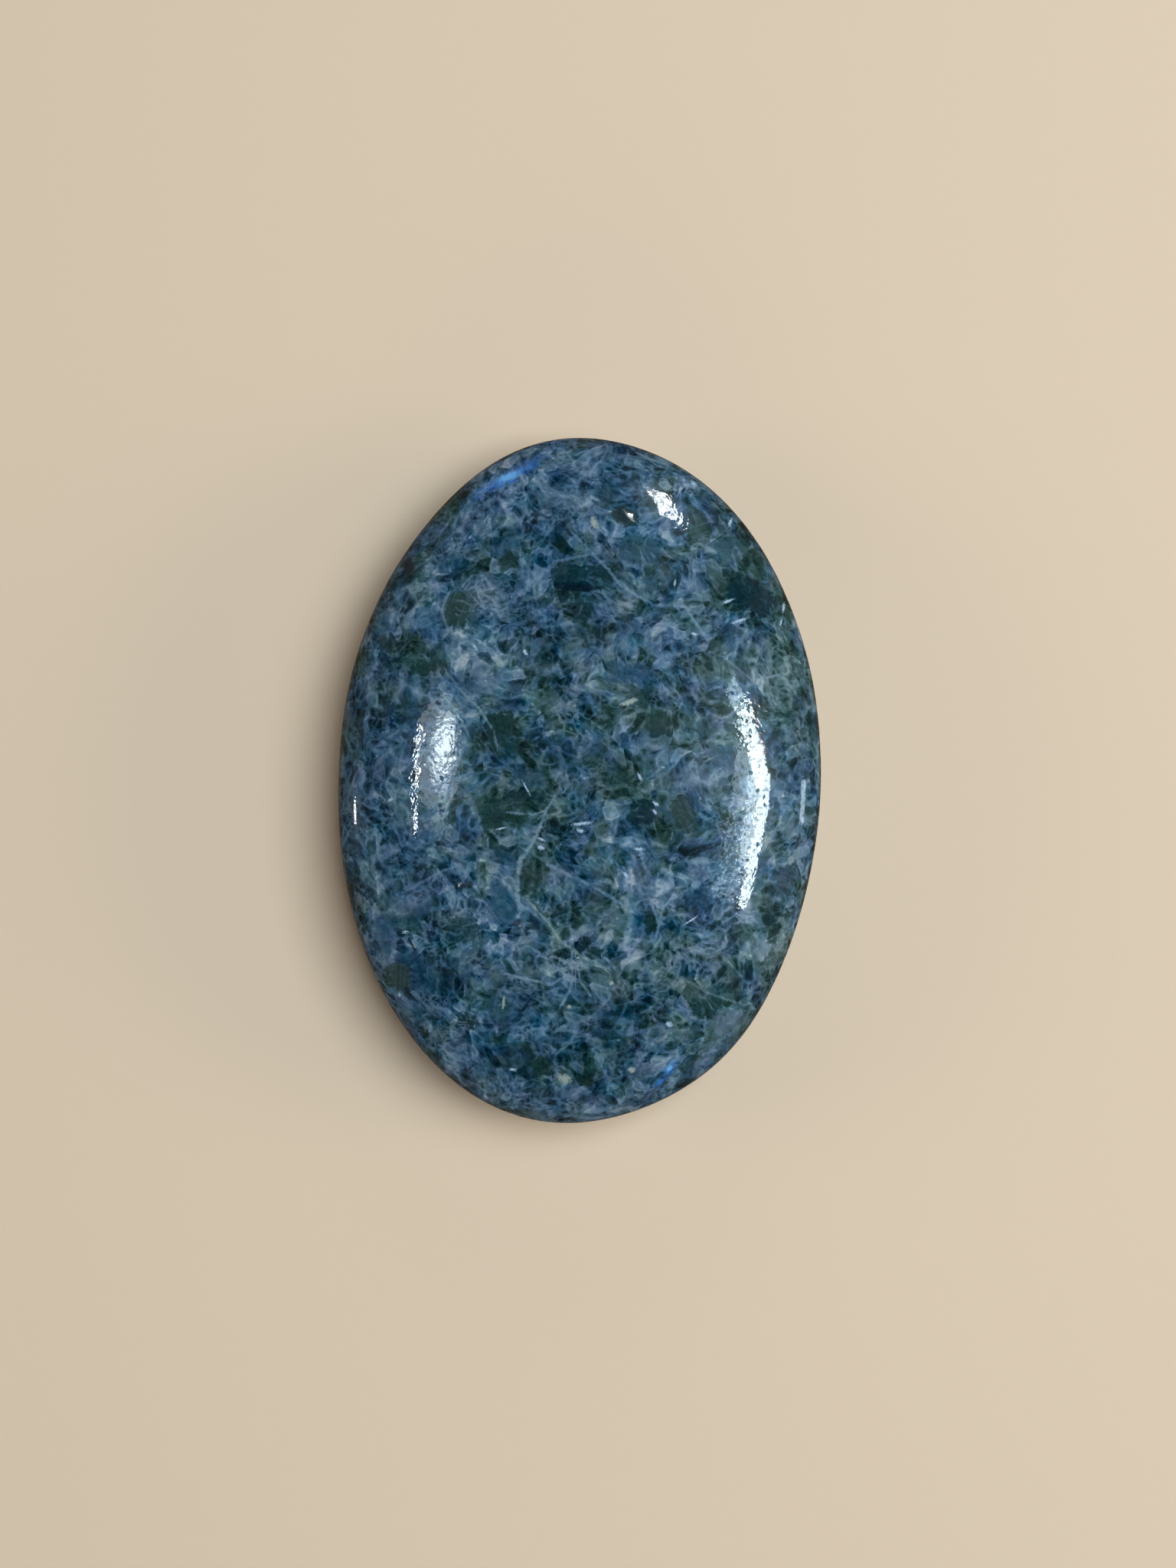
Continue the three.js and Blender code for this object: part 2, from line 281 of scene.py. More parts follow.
# Touches of another colour, among them painted reflections (the blue flash and the glints): how much of it
# shows, how soft its edge is, how ragged (and how many rags to a mm), and the ellipses it fills (x, y, half
# length, half width, turn).
touches = {
    "olive": {"shade": "#344a4b", "share": 0.34, "softness": 0.50, "ragged": 1.6, "rags": 3.0, "fills": [
        (-12.6, 16.3, 1.9, 1.4, 78), (10.4, -3.0, 1.9, 1.2, -60), (-17.7, -20.3, 1.4, 1.3, 0),
        (12.4, -20.4, 2.6, 0.9, -20), (6.3, -28.7, 0.65, 0.55, 0), (8.0, 5.8, 1.8, 1.0, 0)]},
    "brown": {"shade": "#202c38", "share": 0.75, "softness": 0.35, "ragged": 1.2, "rags": 3.0, "fills": [
        (3.5, 26.4, 1.2, 0.85, -25), (-17.9, 20.9, 1.0, 0.5, -55), (-10.5, -10.6, 0.45, 0.35, 20),
        (-5.6, -14.2, 0.5, 0.35, 30), (-5.3, 26.0, 0.9, 0.22, 65), (-6.0, 24.6, 0.35, 0.25, 40)]},
    "mauve": {"shade": "#6c859f", "share": 0.28, "softness": 0.80, "ragged": 2.0, "rags": 2.0, "fills": [
        (11.2, 0.8, 2.3, 1.2, 10), (-16.8, -13.0, 2.8, 0.9, 25), (15.8, -23.9, 1.8, 1.1, 35),
        (-10.2, 18.2, 1.7, 1.4, 0), (-2.4, 28.2, 2.4, 1.1, 0), (7.2, -10.6, 2.4, 1.1, -40)]},
    "black": {"shade": "#061a2b", "share": 0.90, "softness": 0.40, "ragged": 1.2, "rags": 4.0, "fills": [
        (-8.7, 24.2, 0.42, 0.18, 80), (-5.5, 25.5, 0.35, 0.30, 0), (-0.8, 29.5, 0.42, 0.30, 30),
        (-5.6, 23.3, 0.40, 0.16, 75), (-16.1, -16.9, 0.75, 0.14, -60), (-0.6, 19.0, 1.7, 0.40, 0)]},
    "cream": {"shade": "#a6c0c2", "share": 0.75, "softness": 0.50, "ragged": 1.8, "rags": 5.0, "fills": [
        (-0.4, -29.8, 0.60, 0.42, -20), (6.3, -28.7, 0.34, 0.26, 0), (4.6, 7.9, 0.75, 0.22, 25),
        (4.0, 26.4, 0.60, 0.14, -45), (-6.7, -22.3, 0.60, 0.13, 85), (0.5, 25.6, 0.55, 0.30, -70),
        (-0.2, -22.4, 0.2, 0.16, 0), (3.9, -19.9, 0.2, 0.18, 0)]},
    # painted reflection: a blue flash with a paler core, painted into the colour so it shows from every side
    "paintedBlueFlash": {"shade": "#3a86e8", "share": 0.75, "softness": 1.00, "ragged": 2.6, "rags": 1.7, "fills": [
        (-8.4, 30.1, 2.9, 0.50, 31), (10.0, -28.7, 0.7, 0.3, 60), (9.3, -29.9, 0.6, 0.2, 40)]},
    "paintedFlashCore": {"shade": "#70bcff", "share": 0.95, "softness": 0.80, "ragged": 2.0, "rags": 3.0, "fills": [
        (-8.3, 30.2, 0.95, 0.34, 24), (10.1, -28.5, 0.36, 0.2, 70)]},
    # painted highlights: small glints where the polish mirrors light, painted into the colour
    "paintedGlint": {"shade": "#b0d8fc", "share": 0.85, "softness": 0.75, "ragged": 2.6, "rags": 6.0, "fills": [
        (-10.8, 12.8, 0.26, 0.11, -50), (-5.8, 12.4, 0.26, 0.14, -55), (10.4, 30.4, 0.32, 0.18, -45),
        (14.2, 26.6, 0.40, 0.13, 70), (14.1, 18.4, 0.46, 0.12, 25), (15.3, 16.5, 0.60, 0.13, 22),
        (19.9, 18.2, 0.42, 0.13, 80), (19.6, 16.6, 0.34, 0.08, 75), (10.8, 14.9, 0.26, 0.12, -10),
        (8.7, 19.9, 0.26, 0.09, 80), (0.4, -4.2, 0.75, 0.13, 8), (0.3, -4.9, 0.30, 0.16, -15),
        (5.9, 0.6, 0.34, 0.12, -60), (7.6, -2.0, 0.28, 0.13, -20), (7.5, -2.8, 0.24, 0.12, -50),
        (6.1, -6.5, 0.36, 0.14, 0), (-3.5, -5.9, 0.34, 0.11, -20), (-3.5, -6.7, 0.30, 0.18, -15),
        (-18.7, -2.6, 0.24, 0.13, 30), (9.8, -23.9, 0.28, 0.22, -30), (4.9, -9.1, 0.32, 0.13, -50),
        (11.5, -13.4, 0.62, 0.07, 35), (-16.8, -15.7, 0.26, 0.12, 15), (-17.3, -22.2, 0.20, 0.10, 80),
        (-5.6, -29.1, 0.28, 0.13, -5), (-8.3, -32.3, 0.22, 0.14, -30), (-5.2, -0.9, 0.60, 0.07, -60),
        (-7.6, -5.0, 0.44, 0.08, 15)]},
}


def alongAndAcross(points, x, y, turn):
    c, s = math.cos(math.radians(turn)), math.sin(math.radians(turn))
    dx, dy = points[:, 0] - x, points[:, 1] - y
    return dx * c + dy * s, dy * c - dx * s


def markZones(points, above):
    tone, green = np.zeros(len(points)), np.zeros(len(points))
    for x, y, long, wide, turn, paler, greener in markings["zones"]:
        a, b = alongAndAcross(points, x, y, turn)
        inside = np.exp(-((a / long) ** 2 + (b / wide) ** 2)) * above
        tone += paler * inside
        green += greener * inside
    return tone, green


def markPatches(points, above, kind):
    marked = np.zeros(len(points))
    for x, y, long, wide, turn in markings[kind]:
        a, b = alongAndAcross(points, x, y, turn)
        marked += np.exp(-((a / long) ** 4 + (b / wide) ** 4)) * above
    return np.clip(marked, 0, 1)


def markCrystals(points, above):
    # how far inside the nearest crystal each point lies (mm), what that crystal is like,
    # and how far across its stripes the point is
    inside = np.full(len(points), -farOff)
    traits = np.zeros((5, len(points)))
    for x, y, long, wide, turn, *own in markings["crystals"]:
        a, b = alongAndAcross(points, x, y, turn)
        cornerRadius = 0.5 * min(long, wide)
        pastA, pastB = abs(a) - long + cornerRadius, abs(b) - wide + cornerRadius
        away = np.hypot(np.maximum(pastA, 0), np.maximum(pastB, 0)) + np.minimum(np.maximum(pastA, pastB), 0)
        depth = np.where(above > 0.5, cornerRadius - away, -farOff)
        nearer = depth > inside
        inside = np.where(nearer, depth, inside)
        traits = np.where(nearer, [np.full(len(points), value) for value in own] + [b], traits)
    return (inside, *traits)


def markVeins(points, above):
    # which side of the nearest vein a point lies on and how far off, in half widths of that vein
    side, strength = np.full(len(points), farOff), np.zeros(len(points))
    nearest, green = np.full(len(points), farOff), np.zeros(len(points))
    reach = markings["veinReach"]
    for half, strong, greenish, run in markings["veins"]:
        for (x0, y0), (x1, y1) in zip(run, run[1:]):
            dx, dy = x1 - x0, y1 - y0
            t = np.clip(((points[:, 0] - x0) * dx + (points[:, 1] - y0) * dy) / (dx * dx + dy * dy), 0, 1)
            offX, offY = points[:, 0] - x0 - t * dx, points[:, 1] - y0 - t * dy
            away = np.hypot(offX, offY)
            closer = away < nearest
            side = np.where(closer, np.where(dx * offY - dy * offX > 0, away, -away) / half, side)
            strength = np.where(closer, strong * np.clip(2 - away / reach, 0, 1) * above, strength)
            green = np.where(closer, greenish, green)
            nearest = np.minimum(nearest, away)
    return side, strength, green


def writeMarks(mesh):
    points = np.array([v.co for v in mesh.vertices]) / mm
    low, high = markings["fade"]
    above = np.clip((points[:, 2] - low) / (high - low), 0, 1)
    tone, green = markZones(points, above)
    inside, light, crystalGreen, hold, stripes, place = markCrystals(points, above)
    veinSide, veinStrength, veinGreen = markVeins(points, above)
    fields = {"above": above, "zoneTone": tone, "zoneGreen": green, "crystalInside": inside,
              "uneven": markPatches(points, above, "uneven"), "lacy": markPatches(points, above, "lacy"),
              "crystalLight": light, "crystalGreen": crystalGreen, "crystalHold": hold,
              "crystalStripes": stripes, "crystalPlace": place, "veinSide": veinSide,
              "veinStrength": veinStrength, "veinGreen": veinGreen}
    for name, values in fields.items():
        mesh.attributes.new(name, "FLOAT", "POINT").data.foreach_set("value", values.astype(np.float32))


# Short names for the nodes, so that a shader reads from top to bottom.
class Tree:
    def __init__(self, material):
        self.nodes, self.links = material.node_tree.nodes, material.node_tree.links

    def add(self, kind, inputs=None, **settings):
        node = self.nodes.new(kind)
        for key, value in settings.items():
            setattr(node, key, value)
        for key, value in (inputs or {}).items():
            self.feed(node.inputs[key], value)
        return node

    def feed(self, socket, value):
        if isinstance(value, bpy.types.NodeSocket):
            self.links.new(value, socket)
        else:
            socket.default_value = value

    def math(self, operation, a, b=0.0, clamp=False):
        return self.add("ShaderNodeMath", {0: a, 1: b}, operation=operation, use_clamp=clamp).outputs[0]

    def vector(self, operation, a, b=(0, 0, 0), scale=None):
        node = self.add("ShaderNodeVectorMath", {0: a}, operation=operation)
        if scale is None:
            self.feed(node.inputs[1], b)
        else:
            self.feed(node.inputs["Scale"], scale)
        return node.outputs["Vector"]

    def ease(self, value, low, high, start=0.0, end=1.0):
        return self.add("ShaderNodeMapRange", {"Value": value, "From Min": low, "From Max": high,
                                               "To Min": start, "To Max": end},
                        interpolation_type="SMOOTHSTEP").outputs["Result"]

    def noise(self, at, scale, detail=2.0, rough=0.5, colour=False):
        node = self.add("ShaderNodeTexNoise", {"Vector": at, "Scale": scale, "Detail": detail,
                                               "Roughness": rough})
        return node.outputs["Color" if colour else "Fac"]

    def voronoi(self, at, scale, feature="F1"):
        return self.add("ShaderNodeTexVoronoi", {"Vector": at, "Scale": scale}, feature=feature)

    def softGrains(self, at, scale):
        # cells whose colours run into each other a little
        return self.add("ShaderNodeTexVoronoi", {"Vector": at, "Scale": scale, "Smoothness": 0.22},
                        feature="SMOOTH_F1")

    def attribute(self, name):
        return self.add("ShaderNodeAttribute", attribute_name=name).outputs["Fac"]

    def split(self, vector):
        return self.add("ShaderNodeSeparateXYZ", {0: vector}).outputs

    def ramp(self, value, stops):
        node = self.add("ShaderNodeValToRGB", {0: value})
        ramp = node.color_ramp
        while len(ramp.elements) < len(stops):
            ramp.elements.new(0.5)
        for element, (place, colour) in zip(ramp.elements, stops):
            element.position, element.color = place, colour
        return node.outputs["Color"]

    def blend(self, share, first, second, mode="MIX"):
        node = self.add("ShaderNodeMix", {0: share}, data_type="RGBA", blend_type=mode)
        self.feed(node.inputs[6], first)
        self.feed(node.inputs[7], second)
        return node.outputs[2]

    def wander(self, at, length, reach, detail=1.0):
        # the same place, pushed about by up to reach over a given length
        push = self.vector("SUBTRACT", self.noise(at, 1 / length, detail, colour=True), (0.5, 0.5, 0.5))
        return self.vector("ADD", at, self.vector("SCALE", push, scale=reach * 2))

    def mix(self, share, first, second):
        return self.add("ShaderNodeMix", {0: share, 2: first, 3: second}, data_type="FLOAT").outputs[0]

    def ridge(self, value, width):
        # a thin line where a noise crosses its middle
        return self.ease(self.math("ABSOLUTE", self.math("SUBTRACT", value, 0.5)), width, width * 0.25)


stoneFinish = {
    # from dark to pale: lightness, and how far the shade leans to green and to blue
    "blueShades": [(8, 3.5, 13), (18, 3.5, 17.5), (27, 3.5, 20.5), (36, 3.5, 22.5),
                   (46, 4, 22.5), (58, 4, 20.5), (80, 4.5, 10.5)],
    "greenShades": [(8, 8, 4), (18, 10, 4.5), (27, 11, 5.5), (36, 9.5, 8.5),
                    (46, 8.5, 11), (58, 8.5, 10), (80, 7, 3.5)],
    "hueDrift": 0.07, "colourDrift": 0.6,
    "roughness": (0.25, 0.42), "sheen": 0.10,   # under the polish, from the clear grains to the milky felt
    "feltLight": (34.0, 58.0), "gritLight": 24.0,       # where felt begins and is full, what grit adds
    "polish": (0.35, 1.0), "polishRoughness": 0.03,     # how much polish, from its thinnest to its fullest
    # lacy patches polish along threads: how many to a mm, how wide, how bare the stone is between
    "threads": {"scale": 1.6, "width": 0.075, "bare": 0.9},
    "relief": 0.013,                # mm, how far the surface rises where it polished unevenly
    "grit": 0.0015, "gritScale": 2.6,    # mm of fine unevenness, and how many to a mm
}


stoneGrowth = {                     # sizes in mm
    "domain": 5.0, "bigGrain": 2.9, "smallGrain": 1.25, "fineGrain": 0.80,
    "cloud": 1.7, "drift": 6.0, "hueDrift": 4.0, "breaks": 2.6,
    "combTurn": -30, "combSpread": 2.6,     # mean turn of the domains in degrees, their spread in radians
    "combStretch": (0.84, 1.19, 1.0),       # small grains are longer along the comb than across it
    # seams round the small and the fine grains: widest, levels of the breaks at which they are gone
    # and whole, how milky
    "smallSeams": (0.44, 0.40, 0.58, 0.58), "fineSeams": (0.32, 0.58, 0.40, 0.46),
    # fibres: stretch, width, levels of the breaks at which they are gone and whole, how milky
    "combedFibres": ((0.32, 0.95, 0.6), 0.075, 0.46, 0.60, 0.40),
    "looseFibres": ((0.55, 0.55, 0.6), 0.050, 0.56, 0.42, 0.42),
}

stoneTones = {                      # lightness out of 100
    "ground": 18.0, "strands": 43.0, "zoneGround": 22.0, "zoneStrands": 40.0,   # and what a zone adds to each
    "vein": 63.0, "plainGrain": 26.0, "plainSpread": 12.0, "paintedGlintSpecks": 18.0,
    # from the darkest to the palest place of each layer
    "slow": 12.0, "bigGrain": 9.0, "smallGrain": 14.0, "fineGrain": 11.0, "combed": 11.0,
    "stripes": 18.0, "mottling": 24.0,
    "crystalStripes": 2.6,          # times the stripes that each marked crystal has
}


def stonePattern(t):
    # milky strands over a dark green-blue ground: gives place, lightness, greenness and unpolished holes
    place = t.vector("SCALE", t.add("ShaderNodeTexCoord").outputs["Object"], scale=1000.0)   # mm from here on
    bent = t.wander(place, 5.5, 1.3)
    crumpled = t.wander(t.wander(bent, 1.2, 0.24), 0.42, 0.08)
    zoneTone = t.attribute("zoneTone")
    slow = t.noise(bent, 1 / stoneGrowth["drift"], 1.0)
    broken = t.noise(t.vector("ADD", place, (3.0, 50.0, 11.0)), 1 / stoneGrowth["breaks"], 3.0, 0.65)

    # each domain is combed its own way, mostly down to the right
    domain = t.split(t.voronoi(bent, 1 / stoneGrowth["domain"]).outputs["Color"])
    comb = t.math("ADD", t.math("MULTIPLY", t.math("SUBTRACT", domain[0], 0.5), stoneGrowth["combSpread"]),
                  math.radians(stoneGrowth["combTurn"]))
    combed = t.add("ShaderNodeVectorRotate", {"Vector": crumpled, "Angle": comb},
                   rotation_type="Z_AXIS", invert=True).outputs[0]

    # grains: big ones, and small ones between them, each with its own shade
    bigScale = 1 / stoneGrowth["bigGrain"]
    bigRandom = t.split(t.voronoi(crumpled, bigScale).outputs["Color"])
    bigEdge = t.voronoi(crumpled, bigScale, feature="DISTANCE_TO_EDGE").outputs["Distance"]
    grainPlace = t.vector("MULTIPLY", combed, stoneGrowth["combStretch"])
    smallRandom = t.split(t.softGrains(grainPlace, 1 / stoneGrowth["smallGrain"]).outputs["Color"])
    finePlace = t.vector("ADD", crumpled, (9.0, 4.0, 17.0))
    fineGrain = t.softGrains(finePlace, 1 / stoneGrowth["fineGrain"])
    fineRandom = t.split(fineGrain.outputs["Color"])

    # milk gathers in the seams between the grains, in fibres and in soft clouds
    clouds = t.noise(crumpled, 1 / stoneGrowth["cloud"], 4.0, 0.60)
    gaps = t.math("SUBTRACT", 1.0, t.math("MULTIPLY", t.ease(clouds, 0.48, 0.62), 0.45))
    for at, size, seams in ((grainPlace, stoneGrowth["smallGrain"], stoneGrowth["smallSeams"]),
                            (finePlace, stoneGrowth["fineGrain"], stoneGrowth["fineSeams"])):
        width, low, high, milk = seams
        cell = t.voronoi(at, 1 / size, feature="DISTANCE_TO_EDGE")
        edge = t.math("MULTIPLY", cell.outputs["Distance"], size)
        wide = t.ease(broken, 0.3, 0.7, width * 0.5, width)
        seam = t.math("MULTIPLY", t.ease(edge, wide, t.math("MULTIPLY", wide, 0.10)),
                      t.ease(broken, low, high, 0.04, 1.0))
        gaps = t.math("MULTIPLY", gaps, t.math("SUBTRACT", 1.0, t.math("MULTIPLY", seam, milk)))
    bare = 1.0
    for at, fibres in ((combed, stoneGrowth["combedFibres"]), (crumpled, stoneGrowth["looseFibres"])):
        stretch, width, low, high, milk = fibres
        run = t.noise(t.vector("MULTIPLY", at, stretch), 1.0, 1.0)
        strand = t.math("MULTIPLY", t.ridge(run, width), t.ease(broken, low, high))
        bare = t.math("MULTIPLY", bare, t.math("SUBTRACT", 1.0, t.math("MULTIPLY", strand, milk)))
    gaps = t.math("MULTIPLY", gaps, bare)
    filled = t.math("MULTIPLY", t.ease(smallRandom[0], 0.55, 0.85), t.ease(slow, 0.42, 0.56, 0.15, 0.50))
    cover = t.math("SUBTRACT", 1.0, t.math("MULTIPLY", gaps, t.math("SUBTRACT", 1.0, filled)))
    cover = t.math("MULTIPLY", cover, t.ease(smallRandom[0], 0.16, 0.36, 0.60, 1.0))

    # some of the big grains are dark, and some are plain slate
    inGrain = t.ease(bigEdge, 0.02, 0.12)
    darkness = t.math("MULTIPLY", t.math("MULTIPLY", t.ease(bigRandom[1], 0.80, 0.90), inGrain), 0.55)
    cover = t.math("MULTIPLY", cover, t.math("SUBTRACT", 1.0, t.math("MULTIPLY", darkness, 0.8)))
    ground = t.math("ADD", stoneTones["ground"], t.math("MULTIPLY", zoneTone, stoneTones["zoneGround"]))
    strands = t.math("ADD", stoneTones["strands"], t.math("MULTIPLY", zoneTone, stoneTones["zoneStrands"]))
    light = t.math("ADD", ground, t.math("MULTIPLY", cover, strands))
    plain = t.math("MULTIPLY", t.ease(bigRandom[1], 0.24, 0.16), t.ease(bigEdge, 0.0, 0.20, 0.0, 0.65))
    slate = t.math("ADD", stoneTones["plainGrain"],
                   t.math("MULTIPLY", bigRandom[0], stoneTones["plainSpread"]))
    light = t.mix(plain, light, slate)

    def lay(part, weight):
        return t.math("ADD", light, t.math("MULTIPLY", t.math("SUBTRACT", part, 0.5), weight))

    light = lay(slow, stoneTones["slow"])
    light = lay(bigRandom[0], stoneTones["bigGrain"])
    light = lay(smallRandom[2], stoneTones["smallGrain"])
    light = lay(fineRandom[0], stoneTones["fineGrain"])
    light = lay(t.noise(t.vector("MULTIPLY", combed, (1.0, 3.0, 1.5)), 0.9, 2.0, 0.6), stoneTones["combed"])

    # many grains carry fine stripes of their own
    stripeTurn = t.math("MULTIPLY", bigRandom[2], math.pi)
    turned = t.add("ShaderNodeVectorRotate", {"Vector": place, "Angle": stripeTurn},
                   rotation_type="Z_AXIS").outputs[0]
    stripes = t.noise(t.vector("MULTIPLY", turned, (0.25, 3.0, 0.4)), 1.0, 2.0)
    light = lay(stripes, t.math("MULTIPLY", t.ease(bigRandom[1], 0.45, 0.9), stoneTones["stripes"]))

    # green shows in the gaps, in dark grains and where the zones say so
    hueNoise = t.noise(t.vector("ADD", bent, (31.0, 7.0, 3.0)), 1 / stoneGrowth["hueDrift"], 3.0, 0.6)
    green = t.math("ADD", t.ease(hueNoise, 0.34, 0.66), t.attribute("zoneGreen"))
    green = t.math("ADD", green, t.math("MULTIPLY", t.math("SUBTRACT", smallRandom[1], 0.5), 0.5))
    green = t.math("ADD", green, t.math("MULTIPLY", darkness, 0.4))
    green = t.math("SUBTRACT", green, t.math("MULTIPLY", cover, 0.35), clamp=True)

    # the marked crystals, with jagged sides, hide most of the web, but fibres still cross them
    jagged = t.math("ADD", t.attribute("crystalInside"),
                    t.math("MULTIPLY", t.math("SUBTRACT", t.noise(place, 1.3, 4.0, 0.65), 0.5), 2.2))
    hold = t.math("MULTIPLY", t.math("MULTIPLY", t.ease(jagged, -0.12, 0.22), t.attribute("crystalHold")),
                  t.ease(bare, 0.45, 1.0, 0.35, 1.0))
    ownStripes = t.noise(t.add("ShaderNodeCombineXYZ", {
        0: t.math("MULTIPLY", t.attribute("crystalPlace"), 3.0),
        1: t.math("MULTIPLY", t.split(place)[0], 0.12)}).outputs[0], 1.0, 1.5)
    striped = t.math("MULTIPLY", t.math("SUBTRACT", ownStripes, 0.5), t.attribute("crystalStripes"))
    striped = t.math("MULTIPLY", striped, stoneTones["crystalStripes"])
    light = t.mix(hold, light, t.math("ADD", t.attribute("crystalLight"), striped))
    green = t.mix(hold, green, t.attribute("crystalGreen"))

    # veins run over everything, broken and frayed
    frayed = t.math("ADD", t.math("ABSOLUTE", t.attribute("veinSide")),
                    t.math("MULTIPLY", t.math("SUBTRACT", t.noise(place, 3.2, 3.0), 0.5), 2.4))
    vein = t.math("MULTIPLY", t.math("MULTIPLY", t.attribute("veinStrength"), t.ease(frayed, 1.7, 0.4)),
                  t.ease(t.noise(place, 0.9, 2.0), 0.32, 0.54, 0.35, 1.0))
    light = t.mix(t.math("MULTIPLY", vein, 0.85), light, stoneTones["vein"])
    green = t.mix(vein, green, t.attribute("veinGreen"))

    # fine mottling, and painted glints: pale specks the size of dust where the polish mirrors light
    light = lay(t.noise(crumpled, 2.6, 3.0, 0.6), stoneTones["mottling"])
    fineCentre = fineGrain.outputs["Distance"]
    paintedGlintSpecks = t.math("MULTIPLY", t.ease(fineCentre, 0.24, 0.10), t.ease(fineRandom[2], 0.86, 0.90))
    light = t.math("ADD", light, t.math("MULTIPLY", paintedGlintSpecks, stoneTones["paintedGlintSpecks"]))

    # a few small grains never took the polish
    holes = t.math("MULTIPLY", t.ease(fineCentre, 0.36, 0.26), t.ease(fineRandom[1], 0.66, 0.70))
    return place, light, green, holes


def tint(t, place, colour):
    # slow drifts of hue towards violet or teal, and of how strong the colour is
    drift = t.split(t.noise(t.vector("ADD", place, (5.0, 21.0, 40.0)), 1 / 2.4, 3.0, 0.6, colour=True))
    reach = stoneFinish["hueDrift"], stoneFinish["colourDrift"]
    hue = t.math("ADD", 0.5, t.math("MULTIPLY", t.math("SUBTRACT", drift[0], 0.5), reach[0]))
    strength = t.math("ADD", 1.0, t.math("MULTIPLY", t.math("SUBTRACT", drift[1], 0.5), reach[1]))
    shifted = t.add("ShaderNodeHueSaturation", {"Hue": hue, "Saturation": strength, "Color": colour})
    return shifted.outputs["Color"]


def touchUp(t, place, colour):
    # each touch fills its ellipses, on the crown only
    for touch in touches.values():
        rags = t.noise(place, touch["rags"], 2.0)
        frayed = t.math("MULTIPLY", t.math("SUBTRACT", rags, 0.5), touch["ragged"])
        nearest = farOff
        for x, y, long, wide, turn in touch["fills"]:
            local = t.add("ShaderNodeMapping", {
                "Vector": place, "Location": (x, y, 0), "Rotation": (0, 0, math.radians(turn)),
                "Scale": (long, wide, 1000)}, vector_type="TEXTURE").outputs[0]
            away = t.add("ShaderNodeVectorMath", {0: local}, operation="LENGTH").outputs["Value"]
            nearest = t.math("MINIMUM", nearest, away)
        inside = t.ease(t.math("ADD", nearest, frayed), 1 + touch["softness"], 1 - touch["softness"],
                        0.0, touch["share"])
        shows = t.math("MULTIPLY", inside, t.attribute("above"))
        colour = t.blend(shows, colour, linearColour(touch["shade"]))
    return colour


def stoneMaterial():
    material = bpy.data.materials.new("polishedChalcedonyOpal")
    material.use_nodes = True
    t = Tree(material)
    t.nodes.clear()
    place, light, green, holes = stonePattern(t)
    low, high = stoneFinish["blueShades"][0][0], stoneFinish["blueShades"][-1][0]
    shade = t.add("ShaderNodeMapRange", {"Value": light, "From Min": low, "From Max": high}).outputs[0]
    scales = [[((shade[0] - low) / (high - low), leaningGrey(*shade)) for shade in stoneFinish[name]]
              for name in ("blueShades", "greenShades")]
    colour = t.blend(green, t.ramp(shade, scales[0]), t.ramp(shade, scales[1]))
    colour = touchUp(t, place, tint(t, place, colour))

    # one polish over everything; under it the milky felt is duller than the clear grains
    grit = t.noise(place, stoneFinish["gritScale"], 2.0, 0.6)
    gritty = t.math("ADD", light, t.math("MULTIPLY", grit, stoneFinish["gritLight"]))
    dull = t.ease(gritty, *stoneFinish["feltLight"], *stoneFinish["roughness"])
    # the surface is nearly flat, and rises a hair in the uneven patches
    uneven = t.math("ADD", t.ease(t.noise(place, 0.3, 1.0), 0.45, 0.65, 0.15, 0.35), t.attribute("uneven"))
    rises = t.math("MULTIPLY", t.noise(t.wander(place, 1.2, 0.35), 1.9, 1.0), uneven)
    height = t.math("ADD", t.math("MULTIPLY", rises, stoneFinish["relief"] * mm),
                    t.math("MULTIPLY", grit, stoneFinish["grit"] * mm))
    bump = t.add("ShaderNodeBump", {"Strength": 1.0, "Distance": 1.0, "Height": height}).outputs[0]
    patchy = t.ease(t.noise(place, 2.4, 3.0, 0.7), 0.38, 0.50, *stoneFinish["polish"])
    threads = stoneFinish["threads"]
    threaded = t.ridge(t.noise(t.wander(place, 1.2, 0.35), threads["scale"], 2.0), threads["width"])
    between = t.math("MULTIPLY", t.attribute("lacy"), t.math("SUBTRACT", 1.0, threaded))
    coat = t.math("MULTIPLY", t.math("SUBTRACT", 1.0, holes), patchy)
    coat = t.math("MULTIPLY", coat, t.math("SUBTRACT", 1.0, t.math("MULTIPLY", between, threads["bare"])))
    shader = t.add("ShaderNodeBsdfPrincipled", {
        "Base Color": colour, "Roughness": dull, "Normal": bump, "IOR": 1.5,
        "Specular IOR Level": stoneFinish["sheen"], "Coat Normal": bump, "Coat Weight": coat,
        "Coat Roughness": stoneFinish["polishRoughness"], "Coat IOR": 1.5})
    t.add("ShaderNodeOutputMaterial", {"Surface": shader.outputs[0]})
    return material


grid = fitToBox(wearIn(stoneGrid()), *[np.array(corner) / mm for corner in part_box("palm_stone")])
skin = bpy.data.objects.new("palm_stone_skin", skinMesh("palm_stone_skin", grid * mm))
bpy.context.scene.collection.objects.link(skin)
writeMarks(skin.data)
skin.data.materials.append(stoneMaterial())
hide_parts("palm_stone")
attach(skin, "root")
print("stone:", len(skin.data.vertices), "points,", len(skin.data.polygons), "faces")


